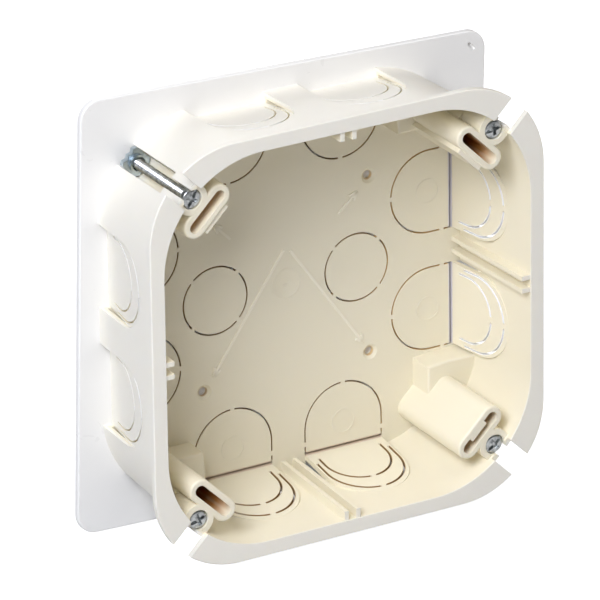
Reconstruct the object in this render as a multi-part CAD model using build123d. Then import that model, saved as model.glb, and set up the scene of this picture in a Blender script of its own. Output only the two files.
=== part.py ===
from build123d import *
import os
from math import atan, degrees

# Square flush junction box for hollow walls, moulded in one piece, with four clamping
# screws and claws in its corners and a loose cover plate standing behind it.
# Everything is drawn lying on its back: x to the right, y up the wall, z out of the
# opening, with z = 0 on the back of the floor. The last step stands it up.

# Driving dimensions, in millimetres
drill_pitch = 53.0            # between the four drilling centres marked on the floor
saw_diameter = 65.0           # hole saw that opens the wall at those centres
saw_clearance = 0.1           # between the moulding and the sawn corner, at the flange
inside_depth = 35.4
floor_thickness = 2.0
wall_thickness = 1.55
wall_rise = 1.5               # how far each wall leans out over the inside depth
flange_size = 123.0
flange_corner = 26.0
flange_thickness = 1.8
flange_edge = 0.35

# Drilling and fixing holes in the floor
drill_hole_diameter = 2.5
drill_sink_diameter = 4.6
drill_sink_depth = 0.8
gate_dimple_diameter = 8.4
gate_dimple_depth = 0.55

# Arched cable entries, two on each wall, that fold round the edge of the floor
entry_width = 24.6
entry_offset = 17.65          # from the middle of the wall
entry_height = 24.1           # up the wall, above the floor
entry_step = 2.7              # how far the panel stands inside the wall at the floor
panel_thickness = 1.5

# Break lines: slits right through, held by small bridges
slit_width = 0.5
bridge_width = 1.3
circle_offset = 22.4          # of the two round knock-outs in the floor
circle_diameter = 20.0
arch_apex = 33.65             # of the floor arch in front of each entry, from the centre
arch_bridge = 2.4             # from the edge slit to the bridge near its ends
edge_slit_width = 0.8
large_line_width = 23.0       # outer break line on each panel
large_line_top = 22.1         # above the floor
large_line_end = 5.0          # where its legs end, above the floor
small_line_width = 19.6
small_line_top = 16.6
small_line_end = 3.0

# Pair of ribs in the middle of each wall, a slot for a partition
rib_gap = 2.4
rib_thickness = 1.3
rib_stand = 2.7
rib_below_rim = 0.4

# Corner columns that take the legs of the cover
column_offset = 42.4          # from the centre, along x and y
column_length = 17.2
column_width = 6.8
column_below_rim = 2.5
column_slot_length = 14.0
column_slot_width = 3.3
column_slot_depth = 22.0
key_length = 6.4
key_depth = 1.3
column_edge = 0.7
ledge_length = 9.2            # raised strip on the inner side of the top columns
ledge_stand = 1.3
ledge_below_top = 0.6

# Raised block beside each column, hollow from the back
block_height = 8.2            # above the floor
block_wall = 1.5
block_inner = 40.3            # its inner face, from the centre
block_end = 31.5              # where it ends along the wall
block_crest = 46.3            # where its end bends, from the centre
block_crest_stand = 0.6
block_edge = 0.7

# Clamping screws and claws
screw_offset = 47.0           # from the centre, along x and y
screw_diameter = 3.0
screw_length = 31.0
head_diameter = 5.5
head_height = 2.0
cross_width = 0.8
cross_length = 3.4
cross_depth = 1.1
slot_width = 0.7
slot_depth = 0.6
head_edge = 0.5
shank_clearance = 0.2
head_clearance = 0.2
claw_width = 6.5
claw_inner = 3.1              # from the screw towards the box's centre
claw_outer = 3.1              # from the screw outwards, to the roots of the teeth
claw_thickness = 1.6
claw_collar_diameter = 5.2
claw_collar_height = 1.0
claw_collar_flare = 0.45       # by which the thread's mouth widens in the collar
claw_bevel = 1.0
claw_tooth = 0.6
claw_teeth = 3
claw_clearance = 0.25         # to each side of its channel
claw_thread_clearance = 0.05
claw_lift = 3.0               # of the lowest claw's back face above the back of the floor
claw_drawn = [15.5, 0.0, 15.5, 15.5]  # how far each claw has been drawn up its screw
channel_wall = 1.1
cup_depth = 9.7               # length of the closed screw guide below the column's top
cup_slit = 3.3
flange_gap = 7.2

# Cover plate
cover_size = 127.2
cover_corner = 6.0
cover_thickness = 1.3
cover_lip_width = 1.6
cover_lip_depth = 0.5
cover_edge = 0.5
cover_turn = -2.0             # it stands a little askew behind the box
leg_length = 10.0
leg_clearance = 0.3           # to each side of the column's slot
leg_split = 3.2
leg_barb = 0.35
barb_lift = 2.0               # of the barb's middle above the leg's end
barb_width = 2.5
barb_height = 1.25
split_root = 2.5              # left whole next to the plate
pry_length = 3.0
pry_width = 1.0
pry_depth = 0.8
pry_inset = 4.6

# Worked-out places
drill_half = drill_pitch / 2
rim_z = floor_thickness + inside_depth
draft = degrees(atan(wall_rise / inside_depth))
outer_half_rim = drill_half + saw_diameter / 2 - saw_clearance
outer_half_back = outer_half_rim - wall_rise * rim_z / inside_depth
inner_half_floor = outer_half_rim - wall_thickness - wall_rise
column_top = rim_z - column_below_rim
block_top = floor_thickness + block_height
head_seat = column_top - head_height
cup_bottom = column_top - cup_depth
channel_half = claw_width / 2 + claw_clearance
channel_inner = claw_inner + claw_clearance
corner_turn = 45.0
far = flange_size             # longer than anything it cuts

walls = [0, 90, 180, 270]
mirrors = [(1, 1), (-1, 1), (-1, -1), (1, -1)]


def tapered_square(half, corner, low, high):
    """Block with round corners that grows towards the rim like the walls do."""
    outline = Plane.XY.offset(low) * RectangleRounded(2 * half, 2 * half, corner)
    return extrude(outline, amount=high - low, taper=-draft)


def prism(outline, low, high):
    return extrude(Plane.XY.offset(low) * outline, amount=high - low)


def to_corner(solid, sign_x, sign_y):
    """Copy of a corner's solid, mirrored from the top right corner to another one."""
    if sign_x < 0:
        solid = mirror(solid, about=Plane.YZ)
    if sign_y < 0:
        solid = mirror(solid, about=Plane.XZ)
    return solid


def outer_envelope():
    return tapered_square(outer_half_back, outer_half_back - drill_half, 0, rim_z)


def inner_envelope():
    return tapered_square(inner_half_floor, inner_half_floor - drill_half, floor_thickness, rim_z)


def entry_outline():
    """Arch on the wall, seen along x: its width runs along y and its height along z."""
    return Plane.YZ * arch_face(entry_width, floor_thickness + entry_height, -floor_thickness)


def entry_slab(offset, thick):
    """Leaning slab from the floor to the arch's top, offset outwards from the inner face."""
    foot = inner_half_floor - entry_step + offset
    top_z = floor_thickness + entry_height
    top = inner_half_floor + wall_rise * entry_height / inside_depth + offset
    lean = (top - foot) / entry_height
    back = foot - lean * floor_thickness
    profile = Polyline((back, 0), (top, top_z), (top + thick, top_z), (back + thick, 0), close=True)
    return extrude(make_face(Plane.XZ * profile), amount=far / 2, both=True)


def entry_panel(offset):
    """The leaning panel of one cable entry on the right-hand wall."""
    arch = extrude(entry_outline(), amount=far)
    return Pos(0, offset, 0) * (arch & entry_slab(0, panel_thickness))


def entry_recess(offset):
    """What the leaning panel leaves open on the outside of the wall."""
    arch = extrude(entry_outline(), amount=far)
    return Pos(0, offset, 0) * (arch & entry_slab(panel_thickness, far / 2))


def arch_face(width, top, low):
    """Arch standing on a straight line, its width about the origin."""
    half = width / 2
    line = Polyline((-half, top - half), (-half, low), (half, low), (half, top - half))
    line += ThreePointArc((-half, top - half), (0, top), (half, top - half))
    return make_face(line)


def panel_breaks():
    """The two break lines on the leaning panel of an entry on the right-hand wall."""
    lines = [
        (large_line_width, large_line_top, large_line_end),
        (small_line_width, small_line_top, small_line_end),
    ]
    cuts = []
    for width, top, low in lines:
        line = arch_face(width + slit_width, top + slit_width / 2, low)
        line -= arch_face(width - slit_width, top - slit_width / 2, low)
        line -= Pos(0, top) * Rectangle(bridge_width, width / 2)
        slit = extrude(Plane.YZ * Pos(0, floor_thickness) * line, amount=far)
        cuts.append(slit & entry_slab(-panel_thickness, 3 * panel_thickness))
    return cuts


def floor_breaks():
    """The arch in the floor in front of an entry, and the slit along the panel's foot."""
    foot = inner_half_floor - entry_step
    half = entry_width / 2
    centre = arch_apex + half
    outlines = []
    for edge in (half + slit_width / 2, half - slit_width / 2):
        arch = Polyline((centre, edge), (foot, edge), (foot, -edge), (centre, -edge))
        arch += ThreePointArc((centre, edge), (centre - edge, 0), (centre, -edge))
        outlines.append(make_face(arch))
    arch = outlines[0] - outlines[1]
    arch -= Pos(arch_apex, 0) * Rectangle(half, bridge_width)
    arch -= Pos(foot - edge_slit_width - arch_bridge, 0) * Rectangle(bridge_width, far)
    edge_slit = Pos(foot - edge_slit_width / 2, 0) * Rectangle(edge_slit_width, entry_width + slit_width)
    return [prism(arch, 0, floor_thickness), prism(edge_slit, 0, floor_thickness)]


def circle_breaks():
    """Round knock-outs in the floor, each held by four bridges."""
    radius = circle_diameter / 2
    ring = Circle(radius + slit_width / 2) - Circle(radius - slit_width / 2)
    for turn in (corner_turn, -corner_turn):
        ring -= Rot(0, 0, turn) * Rectangle(far, bridge_width)
    cut = prism(ring, 0, floor_thickness)
    return [Pos(circle_offset, 0) * cut, Pos(-circle_offset, 0) * cut]


def wall_ribs():
    """Two ribs in the middle of the right-hand wall."""
    low = inner_half_floor - rib_stand
    length = rim_z - rib_below_rim - floor_thickness
    lean = wall_rise / inside_depth
    thick = rib_stand + wall_thickness / 2
    profile = Polyline(
        (low, floor_thickness),
        (low + lean * length, floor_thickness + length),
        (low + lean * length + thick, floor_thickness + length),
        (low + thick, floor_thickness),
        close=True,
    )
    rib = extrude(make_face(Plane.XZ * profile), amount=rib_thickness / 2, both=True)
    shift = (rib_gap + rib_thickness) / 2
    return [Pos(0, shift, 0) * rib, Pos(0, -shift, 0) * rib]


def at_screw(shape):
    """Place a shape on the top right screw, with its x along the diagonal, outwards."""
    return Pos(screw_offset, screw_offset) * Rot(0, 0, corner_turn) * shape


def at_column(shape):
    """Place a shape on the top right column, with its x across the diagonal."""
    return Pos(column_offset, column_offset) * Rot(0, 0, -corner_turn) * shape


def block_outline():
    """Block between the top right column and the top wall, up to the diagonal."""
    return make_face(
        Polyline(
            (block_end, far),
            (block_end - block_crest_stand, block_crest),
            (block_end, block_inner),
            (block_inner, block_inner),
            (far, far),
            close=True,
        )
    )


def column_prism(low, high):
    return prism(at_column(SlotOverall(column_length, column_width)), low, high)


def channel_prism(low, high):
    """Outside of the screw channel, from behind the claw out through the corner."""
    start = -channel_inner - channel_wall
    outline = Pos((start + far) / 2, 0) * Rectangle(far - start, 2 * (channel_half + channel_wall))
    return prism(at_screw(outline), low, high)


def corner_solids():
    """Block, column and screw channel of the top right corner, within the walls."""
    block = prism(block_outline(), 0, block_top)
    edges = block.edges().group_by(Axis.Z)[-1]
    block = fillet([edge for edge in edges if edge.center().X < block_inner], block_edge)
    column = column_prism(0, column_top)
    column = fillet(column.edges().group_by(Axis.Z)[-1], column_edge)
    channel = channel_prism(0, cup_bottom)
    outline_half = channel_half + channel_wall
    cup = Circle(outline_half) + Pos(far / 2, 0) * Rectangle(far, 2 * outline_half)
    cup = prism(at_screw(cup), cup_bottom, column_top)
    return (block + column + channel + cup) & outer_envelope()


def corner_cuts():
    """What is open in the top right corner: pocket, channel, screw guide and slot."""
    pocket = prism(offset(block_outline(), -block_wall), 0, block_top - block_wall)
    pocket &= tapered_square(outer_half_back - wall_thickness, inner_half_floor - drill_half, 0, rim_z)
    pocket -= column_prism(0, block_top)
    pocket -= channel_prism(0, block_top)
    channel = Pos((far - channel_inner) / 2, 0) * Rectangle(far + channel_inner, 2 * channel_half)
    channel = prism(at_screw(channel), 0, cup_bottom)
    guide = Circle(screw_diameter / 2 + shank_clearance)
    guide += Pos(far / 2, 0) * Rectangle(far, cup_slit)
    guide = prism(at_screw(guide), cup_bottom, rim_z)
    seat = prism(at_screw(Circle(head_diameter / 2 + head_clearance)), head_seat, rim_z)
    gap = Pos(far / 2, 0) * Rectangle(far, flange_gap)
    gap = prism(at_screw(gap), rim_z - flange_thickness, rim_z)
    slot = SlotOverall(column_slot_length, column_slot_width)
    slot = prism(at_column(slot), column_top - column_slot_depth, rim_z)
    hole = Cylinder(drill_hole_diameter / 2, floor_thickness, align=(Align.CENTER, Align.CENTER, Align.MIN))
    sink = Cone(
        drill_hole_diameter / 2,
        drill_sink_diameter / 2,
        drill_sink_depth,
        align=(Align.CENTER, Align.CENTER, Align.MIN),
    )
    sink = Pos(0, 0, floor_thickness - drill_sink_depth) * sink
    drilled = Pos(drill_half, drill_half) * (hole + sink)
    return [pocket, channel, guide, seat, gap, slot, drilled]


def slot_key():
    """Tongue in the slot of the bottom right column, so the cover goes on one way."""
    tongue = Pos(0, -(column_slot_width - key_depth) / 2) * Rectangle(key_length, key_depth)
    tongue = prism(at_column(tongue), column_top - column_slot_depth, column_top)
    return to_corner(tongue, 1, -1)


def column_ledge():
    """Raised strip on the inner side of the top right column."""
    across = column_width / 2 + ledge_stand
    strip = Pos(0, -across / 2) * Rectangle(ledge_length, across)
    strip -= SlotOverall(column_slot_length, column_slot_width)
    return prism(at_column(strip), floor_thickness, column_top - ledge_below_top)


def box_body():
    flange = prism(RectangleRounded(flange_size, flange_size, flange_corner), rim_z - flange_thickness, rim_z)
    flange = fillet(flange.edges().group_by(Axis.Z)[-1], flange_edge)
    body = outer_envelope() + flange
    body -= inner_envelope()
    additions = []
    cuts = []
    for turn in walls:
        for offset_y in (-entry_offset, entry_offset):
            additions.append(Rot(0, 0, turn) * entry_panel(offset_y))
            cuts.append(Rot(0, 0, turn) * entry_recess(offset_y))
            place = Rot(0, 0, turn) * Pos(0, offset_y, 0)
            cuts += [place * cut for cut in panel_breaks() + floor_breaks()]
        additions += [Rot(0, 0, turn) * rib for rib in wall_ribs()]
    corner = corner_solids()
    corner_open = corner_cuts()
    additions += [to_corner(column_ledge(), sign_x, 1) for sign_x in (1, -1)]
    cuts += circle_breaks()
    for turn in walls:
        additions.append(Rot(0, 0, turn) * corner)
        cuts += [Rot(0, 0, turn) * cut for cut in corner_open]
    body = (body + additions) - cuts + slot_key()
    rim = gate_dimple_diameter / 2
    ball = (rim**2 + gate_dimple_depth**2) / (2 * gate_dimple_depth)
    dimple = Pos(0, 0, floor_thickness - gate_dimple_depth + ball) * Sphere(ball)
    return body - dimple


def clamp_screw():
    """Screw of the top right corner, with its head towards the rim."""
    shank = prism(Circle(screw_diameter / 2), head_seat - screw_length, head_seat)
    head = prism(Circle(head_diameter / 2), head_seat, head_seat + head_height)
    cross = Rectangle(cross_length, cross_width) + Rectangle(cross_width, cross_length)
    cross = prism(cross, head_seat + head_height - cross_depth, head_seat + head_height)
    slot = Rectangle(2 * head_diameter, slot_width)
    slot = prism(slot, head_seat + head_height - slot_depth, head_seat + head_height)
    screw = shank + fillet(head.edges().group_by(Axis.Z)[-1], head_edge) - cross - slot
    return at_screw(screw)


def clamp_claw():
    """Threaded claw of the top right screw, with teeth along its outer edge."""
    half = claw_width / 2
    step = claw_width / claw_teeth
    points = [(claw_outer, -half), (claw_bevel - claw_inner, -half), (-claw_inner, claw_bevel - half)]
    points += [(-claw_inner, half - claw_bevel), (claw_bevel - claw_inner, half), (claw_outer, half)]
    for tooth in range(claw_teeth):
        root = half - tooth * step
        points += [(claw_outer + claw_tooth, root - step / 2), (claw_outer, root - step)]
    plate = make_face(Polyline(*points[:-1], close=True))
    plate = prism(plate, claw_lift, claw_lift + claw_thickness)
    collar_top = claw_lift + claw_thickness + claw_collar_height
    collar = prism(Circle(claw_collar_diameter / 2), claw_lift + claw_thickness, collar_top)
    radius = screw_diameter / 2 + claw_thread_clearance
    bore = prism(Circle(radius), claw_lift, collar_top)
    mouth = Pos(0, 0, collar_top - claw_collar_height / 2)
    mouth *= Cone(radius, radius + claw_collar_flare, claw_collar_height)
    return at_screw(plate + collar - bore - mouth)


def cover_leg():
    """Split leg that clips into a column's slot, pointing away from the plate's face."""
    length = column_slot_length - 2 * leg_clearance
    width = column_slot_width - 2 * leg_clearance
    low = -cover_thickness - leg_length
    leg = prism(at_column(SlotOverall(length, width)), low, -cover_thickness)
    split = prism(at_column(Rectangle(leg_split, 2 * width)), low, -cover_thickness - split_root)
    barb = Pos(0, 0, low + barb_lift) * Box(barb_width, width + 2 * leg_barb, barb_height)
    shift = (leg_split + length) / 4 + leg_barb
    barbs = [at_column(Pos(side * shift, 0) * barb) for side in (-1, 1)]
    return (leg - split) + barbs


def cover_plate():
    depth = cover_thickness + cover_lip_depth
    plate = prism(RectangleRounded(cover_size, cover_size, cover_corner), -depth, 0)
    plate = fillet(plate.edges().group_by(Axis.Z)[-1], cover_edge)
    inside = cover_size - 2 * cover_lip_width
    hollow = RectangleRounded(inside, inside, cover_corner - cover_lip_width)
    plate -= prism(hollow, -depth, -cover_thickness)
    plate += [to_corner(cover_leg(), *signs) for signs in mirrors]
    place = cover_size / 2 - pry_inset
    notch = Pos(place, place) * Rot(0, 0, -corner_turn) * SlotOverall(pry_length, pry_width)
    plate -= prism(notch, -pry_depth, 0)
    return Rot(0, 0, cover_turn) * plate


def main():
    os.makedirs("parts", exist_ok=True)
    parts = {"box_body": box_body(), "cover_plate": cover_plate()}
    for number, turn in enumerate(walls, start=1):
        parts[f"clamp_screw_{number}"] = Rot(0, 0, turn) * clamp_screw()
        claw = Pos(0, 0, claw_drawn[number - 1]) * clamp_claw()
        parts[f"clamp_claw_{number}"] = Rot(0, 0, turn) * claw
    stand_up = Rot(90, 0, 0)
    for name, solid in parts.items():
        export_step(stand_up * solid, f"parts/{name}.step")


main()
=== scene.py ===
import math
import bmesh
import bpy
from mathutils import Matrix, Vector


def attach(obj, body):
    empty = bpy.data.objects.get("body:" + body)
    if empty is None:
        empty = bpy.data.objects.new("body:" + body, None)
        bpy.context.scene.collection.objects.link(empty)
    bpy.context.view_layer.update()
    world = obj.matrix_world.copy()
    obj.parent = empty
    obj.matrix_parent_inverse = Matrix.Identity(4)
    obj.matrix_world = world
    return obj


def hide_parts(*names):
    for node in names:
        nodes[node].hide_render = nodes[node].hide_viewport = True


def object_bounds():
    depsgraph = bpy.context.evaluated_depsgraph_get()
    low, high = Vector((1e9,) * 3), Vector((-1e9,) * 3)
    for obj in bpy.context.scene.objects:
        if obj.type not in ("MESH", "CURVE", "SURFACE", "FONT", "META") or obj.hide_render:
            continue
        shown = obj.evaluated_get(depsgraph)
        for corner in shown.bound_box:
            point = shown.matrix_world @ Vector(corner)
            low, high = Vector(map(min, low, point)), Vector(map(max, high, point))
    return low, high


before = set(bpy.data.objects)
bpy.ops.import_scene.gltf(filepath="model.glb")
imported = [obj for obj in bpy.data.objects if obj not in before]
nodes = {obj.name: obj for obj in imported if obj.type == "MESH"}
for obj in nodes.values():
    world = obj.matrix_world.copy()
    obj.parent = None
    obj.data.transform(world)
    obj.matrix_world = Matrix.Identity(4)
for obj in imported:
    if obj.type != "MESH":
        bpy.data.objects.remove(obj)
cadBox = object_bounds()
mm = 0.001
print("frame loaded:", len(nodes), "nodes")

# camera, at the angle of the product picture
cameraSet = {
    "aim": Vector((0.0, -0.002, 0.0)),  # middle of the floor inside the box
    "right": Vector((0.865482, -0.500775, -0.012867)),
    "up": Vector((0.208778, 0.337241, 0.917976)),
    "back": Vector((-0.455360, -0.797178, 0.396427)),
    "distance": 1.9174,
    "slideRight": 0.003794,
    "slideUp": -0.004412,
    "lens": 418.27,
    "sensor": 36.0,
}


def makeCamera(c):
    data = bpy.data.cameras.new("pictureCamera")
    data.lens, data.sensor_width = c["lens"], c["sensor"]
    data.clip_start, data.clip_end = 0.01, 50.0
    cam = bpy.data.objects.new("pictureCamera", data)
    bpy.context.scene.collection.objects.link(cam)
    turn = Matrix((c["right"], c["up"], c["back"])).transposed().to_4x4()
    place = c["aim"] + c["back"] * c["distance"] + c["right"] * c["slideRight"] + c["up"] * c["slideUp"]
    cam.matrix_world = Matrix.Translation(place) @ turn
    bpy.context.scene.camera = cam


makeCamera(cameraSet)
bpy.context.scene.view_settings.view_transform = "Standard"
print("camera placed")

# soft studio light: a broad key from the upper left in front, fill from above and behind
lightSet = {
    "key": {"place": (-0.70, -0.62, 0.70), "size": 0.60, "power": 9.8, "colour": (0.965, 0.985, 1.07)},
    "keyHigh": {"place": (-0.75, -0.42, 0.80), "size": 0.60, "power": 3.6, "colour": (0.95, 0.98, 1.10)},
    "left": {"place": (-1.10, -0.35, 0.15), "size": 0.60, "power": 0.1, "colour": (0.97, 0.98, 1.06)},
    "top": {"place": (0.0, -0.15, 1.20), "size": 0.60, "power": 2.5, "colour": (1.02, 0.985, 0.97)},
    "topRight": {"place": (0.60, -0.50, 0.95), "size": 0.60, "power": 1.9, "colour": (1.04, 0.975, 0.90)},
    "topFront": {"place": (0.05, -0.65, 1.00), "size": 0.60, "power": 0.5, "colour": (1.02, 0.985, 0.96)},
    "right": {"place": (1.10, -0.17, 0.20), "size": 0.60, "power": 1.5, "colour": (1.02, 0.985, 0.97)},
    "back": {"place": (0.30, 1.20, 0.38), "size": 0.80, "power": 5.0, "colour": (1.0, 1.0, 1.0)},
}
worldSet = {"ambient": 0.01, "colour": (1.0, 1.0, 1.0, 1.0)}


def makeLights():
    for name, s in lightSet.items():
        data = bpy.data.lights.new(name + "Light", "AREA")
        data.shape, data.size = "DISK", s["size"]
        data.energy, data.color = s["power"], s["colour"]
        lamp = bpy.data.objects.new(name + "Light", data)
        bpy.context.scene.collection.objects.link(lamp)
        lamp.location = s["place"]
        lamp.rotation_euler = (-Vector(s["place"])).to_track_quat("-Z", "Y").to_euler()
    world = bpy.data.worlds.new("studioWorld")
    bpy.context.scene.world = world
    world.use_nodes = True
    back = world.node_tree.nodes["Background"]
    back.inputs["Color"].default_value = worldSet["colour"]
    back.inputs["Strength"].default_value = worldSet["ambient"]


makeLights()

# pale floor under the cover plate's lowest corner
floorSet = {
    "half": 3.0, "colour": (0.6, 0.6, 0.6, 1.0), "rough": 0.8,
    "white": (1.0, 1.0, 1.0, 1.0), "glow": 0.95,
    "mirrored": 0.3,  # share of the glow that shows in reflections
    "shade": (32.0, 7.0), "shadeMiddle": (14.0, -5.0), "shadeEdge": 4.0,  # painted shadow of the gap under the box, in mm
    "shadeDepth": 0.85,
}


def makeFloor(s):
    mesh = bpy.data.meshes.new("studioFloor")
    low, h = cadBox[0].z, s["half"]
    corners = [(-h, -h, low), (h, -h, low), (h, h, low), (-h, h, low)]
    mesh.from_pydata(corners, [], [(0, 1, 2, 3)])
    floor = bpy.data.objects.new("studioFloor", mesh)
    bpy.context.scene.collection.objects.link(floor)
    mat = bpy.data.materials.new("studioFloor")
    mat.use_nodes = True
    skin = mat.node_tree.nodes["Principled BSDF"]
    skin.inputs["Base Color"].default_value = s["colour"]
    skin.inputs["Roughness"].default_value = s["rough"]
    skin.inputs["Emission Color"].default_value = s["white"]
    tree = mat.node_tree
    seen = tree.nodes.new("ShaderNodeLightPath")  # the sheet looks white but sheds no light

    def calc(kind, a, b=0.0):
        node = tree.nodes.new("ShaderNodeMath")
        node.operation, node.use_clamp = kind, kind == "DIVIDE"
        for value, slot in ((a, 0), (b, 1)):
            if hasattr(value, "is_output"):
                tree.links.new(value, node.inputs[slot])
            else:
                node.inputs[slot].default_value = value
        return node.outputs[0]

    coord = tree.nodes.new("ShaderNodeTexCoord")
    split = tree.nodes.new("ShaderNodeSeparateXYZ")
    tree.links.new(coord.outputs["Object"], split.inputs[0])
    # painted shadow: the floor's glow is dimmed in a soft rectangle under the box
    shade = s["shadeDepth"]
    for axis, half, middle in zip("XY", s["shade"], s["shadeMiddle"]):
        away = calc("ABSOLUTE", calc("SUBTRACT", split.outputs[axis], middle * mm))
        edge = calc("DIVIDE", calc("SUBTRACT", half * mm, away), s["shadeEdge"] * mm)
        shade = calc("MULTIPLY", edge, shade)
    mirrored = calc("MULTIPLY", seen.outputs["Is Glossy Ray"], s["mirrored"])
    both = calc("MAXIMUM", seen.outputs["Is Camera Ray"], mirrored)
    glow = calc("MULTIPLY", calc("MULTIPLY", both, s["glow"]), calc("SUBTRACT", 1.0, shade))
    tree.links.new(glow, skin.inputs["Emission Strength"])
    mesh.materials.append(mat)


makeFloor(floorSet)
print("studio ready")


# shader groups that several finishes share
def newGroup(name, ins, outs):
    tree = bpy.data.node_groups.new(name, "ShaderNodeTree")
    for label, kind, value in ins:
        sock = tree.interface.new_socket(label, in_out="INPUT", socket_type=kind)
        sock.default_value = value
    for label, kind in outs:
        tree.interface.new_socket(label, in_out="OUTPUT", socket_type=kind)
    return tree, tree.nodes.new("NodeGroupInput"), tree.nodes.new("NodeGroupOutput")


def addNode(tree, kind, links=(), **fields):
    node = tree.nodes.new(kind)
    for key, value in fields.items():
        if hasattr(node, key):
            setattr(node, key, value)
        else:
            node.inputs[key.replace("_", " ")].default_value = value
    for source, slot in links:
        tree.links.new(source, node.inputs[slot])
    return node


def mixColour(tree, factor, a, b, blend="MIX"):
    node = tree.nodes.new("ShaderNodeMix")
    node.data_type, node.blend_type = "RGBA", blend
    for value, slot in ((factor, 0), (a, 6), (b, 7)):
        if hasattr(value, "is_output"):
            tree.links.new(value, node.inputs[slot])
        else:
            node.inputs[slot].default_value = value
    return node.outputs[2]


def makeMouldSkin():
    # moulded plastic: slow tone drift, flow marks and a fine spark-eroded grain
    ins = [("Base", "NodeSocketColor", (0.8, 0.8, 0.8, 1)), ("Drift", "NodeSocketColor", (0.7, 0.7, 0.7, 1)),
           ("Drift scale", "NodeSocketFloat", 22.0), ("Drift amount", "NodeSocketFloat", 0.3),
           ("Grain scale", "NodeSocketFloat", 4200.0), ("Gloss low", "NodeSocketFloat", 0.3),
           ("Gloss high", "NodeSocketFloat", 0.5)]
    outs = [("Color", "NodeSocketColor"), ("Roughness", "NodeSocketFloat"), ("Height", "NodeSocketFloat")]
    tree, gin, gout = newGroup("mouldSkin", ins, outs)
    coord = addNode(tree, "ShaderNodeTexCoord").outputs["Object"]
    slow = addNode(tree, "ShaderNodeTexNoise", [(coord, "Vector"), (gin.outputs["Drift scale"], "Scale")],
                   Detail=3.0, Roughness=0.55)
    flow = addNode(tree, "ShaderNodeTexNoise", [(coord, "Vector")], Scale=160.0, Detail=2.0, Distortion=1.4)
    grain = addNode(tree, "ShaderNodeTexNoise", [(coord, "Vector"), (gin.outputs["Grain scale"], "Scale")],
                    Detail=2.0, Roughness=0.6)
    blend = addNode(tree, "ShaderNodeMath", [(slow.outputs["Fac"], 0), (gin.outputs["Drift amount"], 1)],
                    operation="MULTIPLY")
    colour = mixColour(tree, blend.outputs[0], gin.outputs["Base"], gin.outputs["Drift"])
    gloss = addNode(tree, "ShaderNodeMapRange",
                    [(flow.outputs["Fac"], "Value"), (gin.outputs["Gloss low"], "To Min"),
                     (gin.outputs["Gloss high"], "To Max")])
    wave = addNode(tree, "ShaderNodeMath", [(flow.outputs["Fac"], 0)], operation="MULTIPLY")
    wave.inputs[1].default_value = 0.6
    height = addNode(tree, "ShaderNodeMath", [(grain.outputs["Fac"], 0), (wave.outputs[0], 1)],
                     operation="ADD")
    tree.links.new(colour, gout.inputs["Color"])
    tree.links.new(gloss.outputs["Result"], gout.inputs["Roughness"])
    tree.links.new(height.outputs[0], gout.inputs["Height"])
    return tree


# places and widths in millimetres, apart from the plain numbers named after it
hollowSet = {
    "Corner centre": 26.5, "Reach": 30.1, "Lean": 0.0424, "Rim": 37.1, "Back": 0.9, "Soft": 0.3,
    "Panel zone": 4.8, "Floor": 1.9, "Foot": 4.4, "Hole": 2.6, "Bore": 1.5, "Dimple": 5.0,
    "Warm start": 18.0, "Warm width": 16.0, "Lit end": 5.0, "Faint share": 0.5,
    "Edge place": 52.75, "Edge half": 0.75, "Edge reach": 12.5, "Edge top": 2.4,
    "Slot place": 59.96, "Slot length": 7.2, "Slot width": 2.0, "Slot top": 34.4, "Slot fade": 8.0,
    "Entry offset": 17.65, "Line half": 0.42, "Line edge": 0.1, "Bridge half": 0.9,
    "Large radius": 11.5, "Large middle": 12.6, "Large end": 7.0,
    "Small radius": 9.8, "Small middle": 8.8, "Small end": 5.0,
    "Turn start": 0.2, "Turn width": 0.2,
}
plainNumbers = ("Lean", "Faint share", "Turn start", "Turn width")


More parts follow.
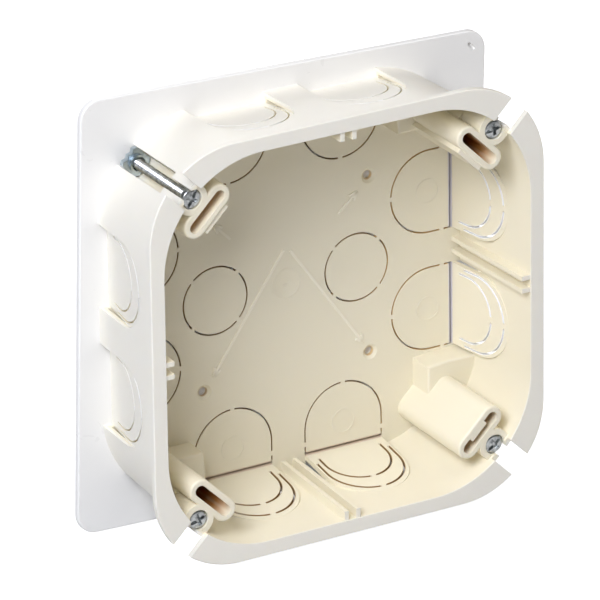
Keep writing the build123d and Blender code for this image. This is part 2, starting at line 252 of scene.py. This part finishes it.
def makeHollowMask(s):
    # masks for the walls and floor inside the box, its break lines and the column slots, where shade and
    # light are painted into the colour
    ins = [(key, "NodeSocketFloat", value if key in plainNumbers else value * mm) for key, value in s.items()]
    masks = ("Inside", "Slit", "Slot", "Line", "Glint", "Edge", "Pale", "Warm")
    outs = [(key, "NodeSocketFloat") for key in masks]
    tree, gin, gout = newGroup("hollowMask", ins, outs)

    def calc(kind, a, b=None):
        node = tree.nodes.new("ShaderNodeMath")
        node.operation = kind
        for value, slot in ((a, 0), (b, 1)):
            value = gin.outputs[value] if isinstance(value, str) else value
            if hasattr(value, "is_output"):
                tree.links.new(value, node.inputs[slot])
            elif value is not None:
                node.inputs[slot].default_value = value
        return node.outputs[0]

    def ramp(distance, width="Soft"):
        return addNode(tree, "ShaderNodeClamp", [(calc("DIVIDE", distance, width), 0)]).outputs[0]

    def product(*values):
        total = values[0]
        for value in values[1:]:
            total = calc("MULTIPLY", total, value)
        return total

    coord = addNode(tree, "ShaderNodeTexCoord")
    split = addNode(tree, "ShaderNodeSeparateXYZ", [(coord.outputs["Object"], 0)])
    across, up = calc("ABSOLUTE", split.outputs["X"]), calc("ABSOLUTE", split.outputs["Z"])
    depth, leftward, downward = [calc("MULTIPLY", split.outputs[axis], -1.0) for axis in "YXZ"]
    past = [calc("SUBTRACT", side, "Corner centre") for side in (across, up)]
    corner = [calc("MAXIMUM", side, 0.0) for side in past]
    radius = calc("SQRT", calc("ADD", product(corner[0], corner[0]), product(corner[1], corner[1])))
    edge = calc("ADD", "Reach", calc("MULTIPLY", depth, "Lean"))
    within = calc("SUBTRACT", edge, radius)
    near = calc("MINIMUM", within, calc("SUBTRACT", "Rim", depth))
    near = calc("MINIMUM", near, calc("SUBTRACT", depth, "Back"))

    # the backs of the leaning panels face outwards and count as outside
    flat = addNode(tree, "ShaderNodeCombineXYZ", [(split.outputs["X"], "X"), (split.outputs["Z"], "Z")])
    flat = addNode(tree, "ShaderNodeVectorMath", [(flat.outputs[0], 0)], operation="NORMALIZE")
    facing = addNode(tree, "ShaderNodeVectorMath", [(flat.outputs[0], 0), (coord.outputs["Normal"], 1)],
                     operation="DOT_PRODUCT").outputs["Value"]
    turned = ramp(calc("SUBTRACT", facing, "Turn start"), "Turn width")
    zone = ramp(calc("SUBTRACT", "Panel zone", within))
    inward = calc("SUBTRACT", 1.0, product(turned, zone))
    # Inside: mask for the deeper, yellower painted shade on the inner walls and floor
    tree.links.new(product(ramp(near), inward), gout.inputs["Inside"])

    # Slit: painted shade on the walls of the slits and holes through the floor
    drilled = calc("SQRT", calc("ADD", product(past[0], past[0]), product(past[1], past[1])))
    slit = product(ramp(calc("SUBTRACT", "Floor", depth)), ramp(calc("SUBTRACT", depth, "Soft")),
                   ramp(calc("SUBTRACT", within, "Foot")), inward,
                   calc("MAXIMUM", ramp(calc("SUBTRACT", drilled, "Hole")),
                        ramp(calc("SUBTRACT", "Bore", drilled))),
                   ramp(calc("SUBTRACT", calc("MAXIMUM", across, up), "Dimple")))
    tree.links.new(slit, gout.inputs["Slit"])
    # Warm: painted light on the floor slits towards the right, where the light reaches into them
    warm = ramp(calc("SUBTRACT", split.outputs["X"], "Warm start"), "Warm width")
    tree.links.new(product(slit, warm), gout.inputs["Warm"])

    # Slot: painted shade deep in the column slots, fading towards the rim
    along = calc("ABSOLUTE", product(calc("SUBTRACT", across, up), math.sqrt(0.5)))
    out = calc("ABSOLUTE", calc("SUBTRACT", product(calc("ADD", across, up), math.sqrt(0.5)), "Slot place"))
    slot = product(ramp(calc("SUBTRACT", "Slot length", along)), ramp(calc("SUBTRACT", "Slot width", out)),
                   ramp(calc("SUBTRACT", "Slot top", depth), "Slot fade"))
    tree.links.new(slot, gout.inputs["Slot"])

    # arched lines on the panels: painted shade on the lower wall, painted light from behind on the right one,
    # and fainter painted light on the other two, apart from the end that the light doesn't reach
    side = calc("ABSOLUTE", calc("SUBTRACT", calc("MINIMUM", across, up), "Entry offset"))
    arches = []
    for size in ("Large", "Small"):
        rise = calc("MAXIMUM", calc("SUBTRACT", depth, size + " middle"), 0.0)
        reach = calc("SQRT", calc("ADD", product(side, side), product(rise, rise)))
        off = calc("ABSOLUTE", calc("SUBTRACT", reach, size + " radius"))
        arches.append(product(ramp(calc("SUBTRACT", "Line half", off), "Line edge"),
                              ramp(calc("SUBTRACT", depth, size + " end"), "Line edge")))
    parted = ramp(calc("SUBTRACT", side, "Bridge half"), "Line edge")
    arch = product(calc("MAXIMUM", *arches), zone, inward, parted)
    # Line: painted shade on the arched lines of the lower wall
    lower = ramp(calc("SUBTRACT", downward, across))
    tree.links.new(product(arch, lower), gout.inputs["Line"])
    # Glint: painted light on the arched lines of the right wall, and fainter on the left and top walls
    right = ramp(calc("SUBTRACT", split.outputs["X"], up))
    lit = []
    for outward, line, beside in ((leftward, split.outputs["Z"], up), (split.outputs["Z"], leftward, across)):
        offset = calc("SUBTRACT", line, product(calc("SIGN", line), "Entry offset"))
        lit.append(product(ramp(calc("SUBTRACT", outward, beside)), ramp(calc("ADD", offset, "Lit end"))))
    faint = product(calc("MAXIMUM", *arches), zone, calc("MAXIMUM", *lit), "Faint share")
    tree.links.new(calc("MAXIMUM", product(arch, right), faint), gout.inputs["Glint"])

    # open gap along the foot of each panel, with painted shade in it, and painted light that makes it paler
    # on the right where light comes through
    off = calc("ABSOLUTE", calc("SUBTRACT", calc("MAXIMUM", across, up), "Edge place"))
    foot = product(ramp(calc("SUBTRACT", "Edge half", off), "Line edge"),
                   ramp(calc("SUBTRACT", "Edge reach", side)),
                   ramp(calc("SUBTRACT", "Edge top", depth)), ramp(calc("SUBTRACT", depth, "Soft")))
    tree.links.new(product(foot, calc("SUBTRACT", 1.0, right)), gout.inputs["Edge"])
    # Pale: painted light in the foot gaps of the right wall
    tree.links.new(product(foot, right), gout.inputs["Pale"])
    return tree


def makePlatedSkin():
    # zinc plating: cloudy tone and gloss, and small spots in the surface bump
    ins = [("Bright", "NodeSocketColor", (0.8, 0.8, 0.8, 1)), ("Dull", "NodeSocketColor", (0.4, 0.4, 0.4, 1)),
           ("Cloud scale", "NodeSocketFloat", 900.0), ("Gloss low", "NodeSocketFloat", 0.2),
           ("Gloss high", "NodeSocketFloat", 0.4)]
    outs = [("Color", "NodeSocketColor"), ("Roughness", "NodeSocketFloat"), ("Height", "NodeSocketFloat")]
    tree, gin, gout = newGroup("platedSkin", ins, outs)
    coord = addNode(tree, "ShaderNodeTexCoord").outputs["Object"]
    cloud = addNode(tree, "ShaderNodeTexNoise", [(coord, "Vector"), (gin.outputs["Cloud scale"], "Scale")],
                    Detail=4.0, Roughness=0.65)
    spots = addNode(tree, "ShaderNodeTexVoronoi", [(coord, "Vector")], Scale=2600.0)
    mask = addNode(tree, "ShaderNodeMapRange", [(cloud.outputs["Fac"], "Value")])
    mask.inputs["From Min"].default_value, mask.inputs["From Max"].default_value = 0.38, 0.68
    colour = mixColour(tree, mask.outputs["Result"], gin.outputs["Bright"], gin.outputs["Dull"])
    gloss = addNode(tree, "ShaderNodeMapRange",
                    [(cloud.outputs["Fac"], "Value"), (gin.outputs["Gloss low"], "To Min"),
                     (gin.outputs["Gloss high"], "To Max")])
    tree.links.new(colour, gout.inputs["Color"])
    tree.links.new(gloss.outputs["Result"], gout.inputs["Roughness"])
    tree.links.new(spots.outputs["Distance"], gout.inputs["Height"])
    return tree


def makeFinish(name, group, values, bump, constants, tones=None):
    mat = bpy.data.materials.new(name)
    mat.use_nodes = True
    tree = mat.node_tree
    skin = tree.nodes["Principled BSDF"]
    for key, value in constants.items():
        skin.inputs[key].default_value = value
    node = tree.nodes.new("ShaderNodeGroup")
    node.node_tree = group
    for key, value in values.items():
        node.inputs[key].default_value = value
    lift = tree.nodes.new("ShaderNodeBump")
    lift.inputs["Strength"].default_value, lift.inputs["Distance"].default_value = bump
    tree.links.new(node.outputs["Height"], lift.inputs["Height"])
    colour = node.outputs["Color"]
    if tones:  # painted shade: a deeper, yellower tone inside the box for the warm light bouncing in the hollow
        hollow = tree.nodes.new("ShaderNodeGroup")
        hollow.node_tree = tones["group"]
        deep = mixColour(tree, hollow.outputs["Inside"], tones["outside"], tones["inside"])
        colour = mixColour(tree, 1.0, colour, deep, "MULTIPLY")
        # painted shade multiplied into the floor slits, column slots, lower lines and panel gaps
        for key in ("slit", "slot", "line", "edge"):
            colour = mixColour(tree, hollow.outputs[key.capitalize()], colour, tones[key], "MULTIPLY")
        # painted light mixed into the lines and gaps lit from behind and the floor slits on the right
        for key in ("glint", "pale", "warm"):
            colour = mixColour(tree, hollow.outputs[key.capitalize()], colour, tones[key])
    tree.links.new(colour, skin.inputs["Base Color"])
    tree.links.new(node.outputs["Roughness"], skin.inputs["Roughness"])
    tree.links.new(lift.outputs["Normal"], skin.inputs["Normal"])
    return mat


ivorySet = {
    "skin": {"Base": (0.90, 0.89, 0.87, 1), "Drift": (0.86, 0.845, 0.815, 1), "Drift scale": 22.0,
             "Drift amount": 0.4, "Grain scale": 4200.0, "Gloss low": 0.34, "Gloss high": 0.48},
    # painted shade: the inside tone is deeper and yellower than the outside, for the warm light bouncing
    # inside the box
    "inside": (0.965, 0.91, 0.735, 1), "outside": (0.965, 0.945, 0.86, 1),
    # painted shade: the slit, slot and line tones darken the floor slits, the column slots and the arched
    # lines on the lower wall
    "slit": (0.50, 0.33, 0.15, 1), "slot": (0.84, 0.48, 0.18, 1), "line": (0.42, 0.28, 0.15, 1),
    # painted shade: the edge tone darkens the gaps at the panel feet; painted light: the glint and pale tones
    # whiten the lines and gaps lit from behind
    "edge": (0.86, 0.76, 0.74, 1), "glint": (1.0, 1.0, 1.0, 1), "pale": (0.72, 0.69, 0.71, 1),
    # painted light: the warm tone lightens the floor slits towards the right
    "warm": (0.90, 0.66, 0.30, 1),
    "bump": (0.12, 0.0002),
    "fixed": {"IOR": 1.5, "Subsurface Weight": 0.12, "Subsurface Radius": (1.0, 0.8, 0.5),
              "Subsurface Scale": 0.0012},
}
raisedSet = {  # painted highlight: the raised arrows catch the light, so their tone is a little lighter
    "skin": dict(ivorySet["skin"], Base=(0.96, 0.905, 0.745, 1), Drift=(0.93, 0.875, 0.715, 1)),
}
whiteSet = {
    "skin": {"Base": (0.89, 0.882, 0.85, 1), "Drift": (0.84, 0.83, 0.80, 1), "Drift scale": 16.0,
             "Drift amount": 0.4, "Grain scale": 3600.0, "Gloss low": 0.24, "Gloss high": 0.36},
    "bump": (0.08, 0.0002),
    "fixed": {"IOR": 1.5},
}
screwSet = {
    "skin": {"Bright": (0.62, 0.64, 0.63, 1), "Dull": (0.25, 0.265, 0.27, 1), "Cloud scale": 700.0,
             "Gloss low": 0.22, "Gloss high": 0.42},
    "bump": (0.15, 0.00005),
    "fixed": {"Metallic": 1.0},
}
clawSet = {
    "skin": {"Bright": (0.60, 0.68, 0.73, 1), "Dull": (0.34, 0.41, 0.45, 1), "Cloud scale": 420.0,
             "Gloss low": 0.22, "Gloss high": 0.42},
    "bump": (0.2, 0.00005),
    "fixed": {"Metallic": 1.0},
}

mouldSkin, platedSkin = makeMouldSkin(), makePlatedSkin()
ivoryTones = {key: ivorySet[key] for key in ivorySet if key not in ("skin", "bump", "fixed")}
ivoryTones["group"] = makeHollowMask(hollowSet)
ivoryPlastic = makeFinish("ivoryPlastic", mouldSkin, ivorySet["skin"], ivorySet["bump"], ivorySet["fixed"],
                          ivoryTones)
ivoryRaised = makeFinish("ivoryRaised", mouldSkin, raisedSet["skin"], ivorySet["bump"], ivorySet["fixed"])
whitePlastic = makeFinish("whitePlastic", mouldSkin, whiteSet["skin"], whiteSet["bump"], whiteSet["fixed"])
platedScrew = makeFinish("platedScrew", platedSkin, screwSet["skin"], screwSet["bump"], screwSet["fixed"])
platedClaw = makeFinish("platedClaw", platedSkin, clawSet["skin"], clawSet["bump"], clawSet["fixed"])


def dress(node, finish):
    mesh = nodes[node].data
    mesh.materials.clear()
    mesh.materials.append(finish)


dress("box_body", ivoryPlastic)
dress("cover_plate", whitePlastic)
for n in range(1, 5):
    dress(f"clamp_screw_{n}", platedScrew)
    dress(f"clamp_claw_{n}", platedClaw)
print("finishes made:", len(bpy.data.materials))


# geometry node trees for the screw threads and the raised lines
def newShapeTree(name, ins):
    tree = bpy.data.node_groups.new(name, "GeometryNodeTree")
    tree.interface.new_socket("Geometry", in_out="OUTPUT", socket_type="NodeSocketGeometry")
    for label, kind in ins:
        tree.interface.new_socket(label, in_out="INPUT", socket_type=kind)
    return tree, tree.nodes.new("NodeGroupInput"), tree.nodes.new("NodeGroupOutput")


def endTree(tree, geometry, material, gout):
    real = addNode(tree, "GeometryNodeRealizeInstances", [(geometry, "Geometry")])
    paint = addNode(tree, "GeometryNodeSetMaterial", [(real.outputs[0], "Geometry"), (material, "Material")])
    tree.links.new(paint.outputs[0], gout.inputs["Geometry"])


def bakeTree(tree, mesh, values):
    carrier = bpy.data.objects.new(tree.name + "Carrier", mesh)
    bpy.context.scene.collection.objects.link(carrier)
    mod = carrier.modifiers.new("shape", "NODES")
    mod.node_group = tree
    for item in tree.interface.items_tree:
        if item.item_type == "SOCKET" and item.in_out == "INPUT" and item.name in values:
            mod[item.identifier] = values[item.name]
    bpy.context.view_layer.update()
    done = carrier.evaluated_get(bpy.context.evaluated_depsgraph_get())
    baked = bpy.data.meshes.new_from_object(done)
    carrier.modifiers.remove(mod)
    bpy.data.objects.remove(carrier)
    return baked


threadSet = {
    "Turns": 58.0, "Pitch": 0.5, "Core radius": 1.22, "Crest": 0.28, "Segments": 20, "Core length": 31.0,
}


def makeThreadTree():
    kinds = [("Turns", "NodeSocketFloat"), ("Pitch", "NodeSocketFloat"), ("Core radius", "NodeSocketFloat"),
             ("Crest", "NodeSocketFloat"), ("Segments", "NodeSocketInt"), ("Core length", "NodeSocketFloat"),
             ("Material", "NodeSocketMaterial")]
    tree, gin, gout = newShapeTree("screwThread", kinds)
    rise = addNode(tree, "ShaderNodeMath", [(gin.outputs["Turns"], 0), (gin.outputs["Pitch"], 1)],
                   operation="MULTIPLY")
    helix = addNode(tree, "GeometryNodeCurveSpiral",
                    [(gin.outputs["Segments"], "Resolution"), (gin.outputs["Turns"], "Rotations"),
                     (gin.outputs["Core radius"], "Start Radius"), (gin.outputs["Core radius"], "End Radius"),
                     (rise.outputs[0], "Height")])
    steady = addNode(tree, "GeometryNodeSetCurveNormal", [(helix.outputs[0], "Curve")], mode="Z_UP")
    ridge = addNode(tree, "GeometryNodeCurvePrimitiveCircle", [(gin.outputs["Crest"], "Radius")])
    ridge.inputs["Resolution"].default_value = 4
    sweep = addNode(tree, "GeometryNodeCurveToMesh",
                    [(steady.outputs[0], "Curve"), (ridge.outputs["Curve"], "Profile Curve")])
    sweep.inputs["Fill Caps"].default_value = True
    core = addNode(tree, "GeometryNodeMeshCylinder",
                   [(gin.outputs["Core radius"], "Radius"), (gin.outputs["Core length"], "Depth")])
    core.inputs["Vertices"].default_value = 40
    half = addNode(tree, "ShaderNodeMath", [(gin.outputs["Core length"], 0)], operation="MULTIPLY")
    half.inputs[1].default_value = 0.5
    shift = addNode(tree, "ShaderNodeCombineXYZ", [(half.outputs[0], "Z")])
    core = addNode(tree, "GeometryNodeTransform", [(core.outputs["Mesh"], "Geometry"),
                                                   (shift.outputs[0], "Translation")])
    join = addNode(tree, "GeometryNodeJoinGeometry", [(sweep.outputs[0], 0)])
    tree.links.new(core.outputs[0], join.inputs[0])
    endTree(tree, join.outputs[0], gin.outputs["Material"], gout)
    return tree


headSet = {
    "radius": 2.72, "height": 2.0, "edge": 0.75, "crown": 0.25, "sides": 56,
    "crossLength": 3.6, "crossWidth": 1.0, "crossDepth": 1.5, "slotWidth": 0.8, "slotDepth": 0.75,
    "bevel": 0.07, "seat": 32.9, "offset": 47.0, "turns": (12.0, 60.0, 20.0, 38.0),
}


def turnedMesh(name, profile, sides):
    # closed turned shape from (radius, height) points that start and end on the axis
    rings, faces, points = [], [], []
    for r, z in profile:
        if r == 0:
            rings.append([len(points)])
            points.append((0, 0, z))
            continue
        rings.append(list(range(len(points), len(points) + sides)))
        points += [(r * math.cos(2 * math.pi * k / sides), r * math.sin(2 * math.pi * k / sides), z)
                   for k in range(sides)]
    for low, high in zip(rings, rings[1:]):
        for k in range(sides):
            a, b = low[k % len(low)], low[(k + 1) % len(low)]
            c, d = high[(k + 1) % len(high)], high[k % len(high)]
            faces.append(tuple(dict.fromkeys((a, b, c, d))))
    mesh = bpy.data.meshes.new(name)
    mesh.from_pydata(points, [], faces)
    tidy = bmesh.new()
    tidy.from_mesh(mesh)
    bmesh.ops.recalc_face_normals(tidy, faces=tidy.faces)
    tidy.to_mesh(mesh)
    tidy.free()
    return mesh


def boxesMesh(name, boxes):
    # boxes as (length, width, low, high) about the z axis
    shape = bmesh.new()
    for length, width, low, high in boxes:
        made = bmesh.ops.create_cube(shape, size=1.0)["verts"]
        bmesh.ops.scale(shape, vec=(length, width, high - low), verts=made)
        bmesh.ops.translate(shape, vec=(0, 0, (low + high) / 2), verts=made)
    mesh = bpy.data.meshes.new(name)
    shape.to_mesh(mesh)
    shape.free()
    return mesh


def makeHead(s):
    # pan head with a crowned top, cross recess and a slot right across
    top, edge = s["height"], s["edge"]
    profile = [(0, 0), (s["radius"], 0), (s["radius"], top - edge)]
    for k in range(1, 7):
        a = math.pi / 2 * k / 6
        rise = (edge - s["crown"]) * math.sin(a)
        profile.append((s["radius"] - edge * (1 - math.cos(a)), top - edge + rise))
    profile += [((s["radius"] - edge) * 0.5, top - s["crown"] * 0.3), (0, top)]
    head = bpy.data.objects.new("headBlank", turnedMesh("headBlank", profile, s["sides"]))
    cuts = []
    deep, over = top - s["crossDepth"], top + 1.0
    arms = [(s["crossLength"], s["crossWidth"], deep), (s["crossWidth"], s["crossLength"], deep)]
    for length, width, low in arms + [(4 * s["radius"], s["slotWidth"], top - s["slotDepth"])]:
        cuts.append(bpy.data.objects.new("headCut", boxesMesh("headCut", [(length, width, low, over)])))
    for obj in [head] + cuts:
        bpy.context.scene.collection.objects.link(obj)
    for cut in cuts:
        mod = head.modifiers.new("cut", "BOOLEAN")
        mod.operation, mod.solver, mod.object = "DIFFERENCE", "EXACT", cut
    soft = head.modifiers.new("soft", "BEVEL")
    soft.width, soft.segments, soft.limit_method, soft.angle_limit = s["bevel"], 2, "ANGLE", math.radians(40)
    bpy.context.view_layer.update()
    mesh = bpy.data.meshes.new_from_object(head.evaluated_get(bpy.context.evaluated_depsgraph_get()))
    for obj in [head] + cuts:
        bpy.data.objects.remove(obj)
    return mesh


def makeScrews(thread, head, t, h):
    values = {key: t[key] for key in ("Turns", "Pitch", "Core radius", "Crest", "Segments", "Core length")}
    values["Material"] = platedScrew
    shank = bakeTree(thread, bpy.data.meshes.new("shankSeed"), values)
    signs = [(1, 1), (-1, 1), (-1, -1), (1, -1)]
    for n, (sx, sz) in enumerate(signs, start=1):
        whole = bmesh.new()
        whole.from_mesh(shank)
        bmesh.ops.translate(whole, vec=(0, 0, h["seat"] - t["Core length"]), verts=whole.verts)
        before = set(whole.verts)
        whole.from_mesh(head)
        fresh = [v for v in whole.verts if v not in before]
        turn = Matrix.Rotation(math.radians(h["turns"][n - 1]), 4, "Z")
        bmesh.ops.transform(whole, matrix=turn, verts=fresh)
        bmesh.ops.translate(whole, vec=(0, 0, h["seat"]), verts=fresh)
        stand = Matrix.Rotation(math.pi / 2, 4, "X")  # z out of the box becomes -Y
        spot = Matrix.Translation((sx * h["offset"] * mm, 0, sz * h["offset"] * mm))
        bmesh.ops.transform(whole, matrix=spot @ stand @ Matrix.Scale(mm, 4), verts=whole.verts)
        mesh = bpy.data.meshes.new(f"clampScrew{n}")
        whole.to_mesh(mesh)
        whole.free()
        mesh.materials.clear()
        mesh.materials.append(platedScrew)
        mesh.polygons.foreach_set("material_index", [0] * len(mesh.polygons))
        mesh.set_sharp_from_angle(angle=math.radians(35))
        screw = placeMesh(f"clampScrew{n}", mesh, f"screw_{n}")
        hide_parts(f"clamp_screw_{n}")


lineSet = {
    "finish": ivoryRaised, "Width": 0.7 * mm, "Height": 0.7 * mm, "floor": -2.0 * mm,
    "wing": 2.6, "spread": math.radians(24),
    # start and tip of each arrow, in millimetres across and up the floor
    "arrows": [((-0.8, 10.3), (-23.5, -22.3)), ((1.3, 9.7), (24.1, -22.9)),
               ((16.8, 17.1), (22.7, 22.6)), ((-17.5, 17.3), (-22.3, 22.3))],
}
pinSet = {  # faint round marks of the mould: a pin in front of each entry, and the rim of the gate
    "finish": ivoryPlastic, "Width": 0.5 * mm, "Height": 0.26 * mm, "floor": -2.0 * mm,
    "radius": 3.5, "gateRadius": 4.4, "sides": 40, "place": (45.4, 17.65),
}


def makeLineTree():
    kinds = [("Geometry", "NodeSocketGeometry"), ("Width", "NodeSocketFloat"), ("Height", "NodeSocketFloat"),
             ("Material", "NodeSocketMaterial")]
    tree, gin, gout = newShapeTree("raisedLine", kinds)
    path = addNode(tree, "GeometryNodeMeshToCurve", [(gin.outputs["Geometry"], "Mesh")])
    shape = addNode(tree, "GeometryNodeCurvePrimitiveQuadrilateral",
                    [(gin.outputs["Width"], "Width"), (gin.outputs["Height"], "Height")])
    sweep = addNode(tree, "GeometryNodeCurveToMesh",
                    [(path.outputs[0], "Curve"), (shape.outputs[0], "Profile Curve")])
    sweep.inputs["Fill Caps"].default_value = True
    endTree(tree, sweep.outputs[0], gin.outputs["Material"], gout)
    return tree


def placeMesh(name, mesh, body):
    obj = bpy.data.objects.new(name, mesh)
    bpy.context.scene.collection.objects.link(obj)
    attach(obj, body)
    return obj


def raiseLines(name, points, edges, s, tree):
    mesh = bpy.data.meshes.new(name + "Paths")
    mesh.from_pydata(points, edges, [])
    values = {"Width": s["Width"], "Height": s["Height"], "Material": s["finish"]}
    raised = bakeTree(tree, mesh, values)
    raised.shade_flat()
    placeMesh(name, raised, "box")


def makeArrows(s, tree):
    points, edges = [], []
    for start, tip in s["arrows"]:
        away = Vector(start) - Vector(tip)
        away.normalize()
        ends = [Vector(start)]
        for side in (-1, 1):
            ends.append(Vector(tip) + Matrix.Rotation(side * s["spread"], 2) @ away * s["wing"])
        for end in ends:
            edges.append((len(points), len(points) + 1))
            points += [(end.x * mm, s["floor"], end.y * mm), (tip[0] * mm, s["floor"], tip[1] * mm)]
    raiseLines("floorArrows", points, edges, s, tree)


def makePinMarks(s, tree):
    points, edges = [], []
    far, near = s["place"]
    middles = [(a * far, b * near) for a in (-1, 1) for b in (-1, 1)]
    middles += [(z, x) for x, z in middles]
    rings = [(x, z, s["radius"]) for x, z in middles] + [(0.0, 0.0, s["gateRadius"])]
    for x, z, radius in rings:
        first = len(points)
        for k in range(s["sides"]):
            a = math.tau * k / s["sides"]
            edges.append((first + k, first + (k + 1) % s["sides"]))
            points.append(((x + radius * math.cos(a)) * mm, s["floor"], (z + radius * math.sin(a)) * mm))
    raiseLines("pinMarks", points, edges, s, tree)


makeScrews(makeThreadTree(), makeHead(headSet), threadSet, headSet)
print("screws threaded")
lineTree = makeLineTree()
makeArrows(lineSet, lineTree)
makePinMarks(pinSet, lineTree)
print("floor arrows and pin marks laid")
